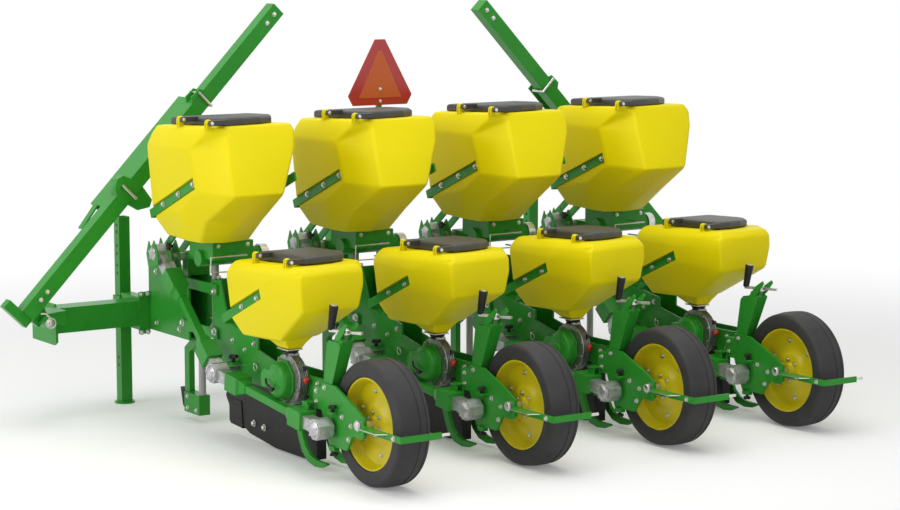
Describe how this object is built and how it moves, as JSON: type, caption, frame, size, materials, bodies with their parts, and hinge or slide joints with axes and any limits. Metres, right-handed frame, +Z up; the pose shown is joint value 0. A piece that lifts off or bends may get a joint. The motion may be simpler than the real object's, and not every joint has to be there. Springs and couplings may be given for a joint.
{
  "type": "row crop planter",
  "caption": "Mounted row crop planter: square toolbar with three-point hitch, linked row units with yellow hoppers, press wheels, folding row markers and parking stands.",
  "frame": {"origin": "on the ground under the centre of the overall box", "axes": "+X to the machine's right along the toolbar, +Y forward towards the tractor, +Z up"},
  "size_m": [4.293, 2.82, 2.06],
  "materials": {
    "green_paint": "gloss enamel",
    "rim_paint": "gloss enamel",
    "hopper_plastic": "moulded, satin",
    "lid_plastic": "moulded, satin",
    "black_plastic": "moulded",
    "tube_plastic": "translucent grey",
    "tyre_rubber": "matt",
    "bright_steel": "zinc plated",
    "dark_steel": "dark, worn",
    "cast_metal": "as cast",
    "emblem_plastic": "retroreflective border"
  },
  "bodies": {
    "root": {"covering_knives": "green_paint", "crank_grips": "black_plastic", "depth_cranks": "bright_steel", "distributor_rings": "bright_steel", "drive_gearboxes": "cast_metal", "drive_guards": "green_paint", "drive_shafts": "green_paint", "emblem_post": "green_paint", "fertiliser_distributors": "green_paint", "fertiliser_hoppers": "hopper_plastic", "fertiliser_points": "dark_steel", "fertiliser_shanks": "green_paint", "fertiliser_straps": "green_paint", "fertiliser_tubes": "tube_plastic", "hitch_frame": "green_paint", "hitch_pins": "bright_steel", "hopper_posts": "green_paint", "lid_hinge_pins": "bright_steel", "marker_brackets": "green_paint", "marker_pins": "bright_steel", "meter_necks": "black_plastic", "parallel_links": "green_paint", "row_frames": "green_paint", "runner_openers": "dark_steel", "seed_hoppers": "hopper_plastic", "seed_meters": "cast_metal", "seed_straps": "green_paint", "slow_vehicle_emblem": "emblem_plastic", "stand_sleeves": "green_paint", "toolbar": "green_paint", "toolbar_brackets": "green_paint", "wheel_arms": "green_paint", "wheel_axles": "bright_steel", "wheel_scrapers": "green_paint"},
    "press_wheel_1": {"tyre_1": "tyre_rubber", "rim_1": "rim_paint"},
    "press_wheel_2": {"tyre_2": "tyre_rubber", "rim_2": "rim_paint"},
    "press_wheel_3": {"tyre_3": "tyre_rubber", "rim_3": "rim_paint"},
    "press_wheel_4": {"tyre_4": "tyre_rubber", "rim_4": "rim_paint"},
    "fertiliser_lid_1_flap": {"fertiliser_lid_1": "lid_plastic"},
    "fertiliser_lid_2_flap": {"fertiliser_lid_2": "lid_plastic"},
    "fertiliser_lid_3_flap": {"fertiliser_lid_3": "lid_plastic"},
    "fertiliser_lid_4_flap": {"fertiliser_lid_4": "lid_plastic"},
    "seed_lid_1_flap": {"seed_lid_1": "lid_plastic"},
    "seed_lid_2_flap": {"seed_lid_2": "lid_plastic"},
    "seed_lid_3_flap": {"seed_lid_3": "lid_plastic"},
    "seed_lid_4_flap": {"seed_lid_4": "lid_plastic"},
    "marker_left": {"marker_arm_left": "green_paint"},
    "marker_right": {"marker_arm_right": "green_paint"},
    "stand_leg_left": {"stand_left": "green_paint"},
    "stand_leg_right": {"stand_right": "green_paint"}
  },
  "joints": [
    {"name": "press_wheel_1_spin", "type": "hinge", "parent": "root", "child": "press_wheel_1", "pos_m": [-1.2, -1.065, 0.284], "axis": [1, 0, 0], "continuous": true},
    {"name": "press_wheel_2_spin", "type": "hinge", "parent": "root", "child": "press_wheel_2", "pos_m": [-0.4, -1.065, 0.284], "axis": [1, 0, 0], "continuous": true},
    {"name": "press_wheel_3_spin", "type": "hinge", "parent": "root", "child": "press_wheel_3", "pos_m": [0.4, -1.065, 0.284], "axis": [1, 0, 0], "continuous": true},
    {"name": "press_wheel_4_spin", "type": "hinge", "parent": "root", "child": "press_wheel_4", "pos_m": [1.2, -1.065, 0.284], "axis": [1, 0, 0], "continuous": true},
    {"name": "fertiliser_lid_1_hinge", "type": "hinge", "parent": "root", "child": "fertiliser_lid_1_flap", "pos_m": [-1.442, 0.185, 1.537], "axis": [0, -1, 0], "range_deg": [0, 100]},
    {"name": "fertiliser_lid_2_hinge", "type": "hinge", "parent": "root", "child": "fertiliser_lid_2_flap", "pos_m": [-0.642, 0.185, 1.537], "axis": [0, -1, 0], "range_deg": [0, 100]},
    {"name": "fertiliser_lid_3_hinge", "type": "hinge", "parent": "root", "child": "fertiliser_lid_3_flap", "pos_m": [0.158, 0.185, 1.537], "axis": [0, -1, 0], "range_deg": [0, 100]},
    {"name": "fertiliser_lid_4_hinge", "type": "hinge", "parent": "root", "child": "fertiliser_lid_4_flap", "pos_m": [0.958, 0.185, 1.537], "axis": [0, -1, 0], "range_deg": [0, 100]},
    {"name": "seed_lid_1_hinge", "type": "hinge", "parent": "root", "child": "seed_lid_1_flap", "pos_m": [-1.395, -0.465, 0.955], "axis": [0, -1, 0], "range_deg": [0, 100]},
    {"name": "seed_lid_2_hinge", "type": "hinge", "parent": "root", "child": "seed_lid_2_flap", "pos_m": [-0.595, -0.465, 0.955], "axis": [0, -1, 0], "range_deg": [0, 100]},
    {"name": "seed_lid_3_hinge", "type": "hinge", "parent": "root", "child": "seed_lid_3_flap", "pos_m": [0.205, -0.465, 0.955], "axis": [0, -1, 0], "range_deg": [0, 100]},
    {"name": "seed_lid_4_hinge", "type": "hinge", "parent": "root", "child": "seed_lid_4_flap", "pos_m": [1.005, -0.465, 0.955], "axis": [0, -1, 0], "range_deg": [0, 100]},
    {"name": "marker_left_fold", "type": "hinge", "parent": "root", "child": "marker_left", "pos_m": [-1.93, 0.865, 0.542], "axis": [0, -1, 0], "range_deg": [0, 135]},
    {"name": "marker_right_fold", "type": "hinge", "parent": "root", "child": "marker_right", "pos_m": [1.93, 0.865, 0.542], "axis": [0, 1, 0], "range_deg": [0, 135]},
    {"name": "stand_left_slide", "type": "slide", "parent": "root", "child": "stand_leg_left", "axis": [0, 0, 1], "range_m": [0, 0.38]},
    {"name": "stand_right_slide", "type": "slide", "parent": "root", "child": "stand_leg_right", "axis": [0, 0, 1], "range_m": [0, 0.38]}
  ]
}
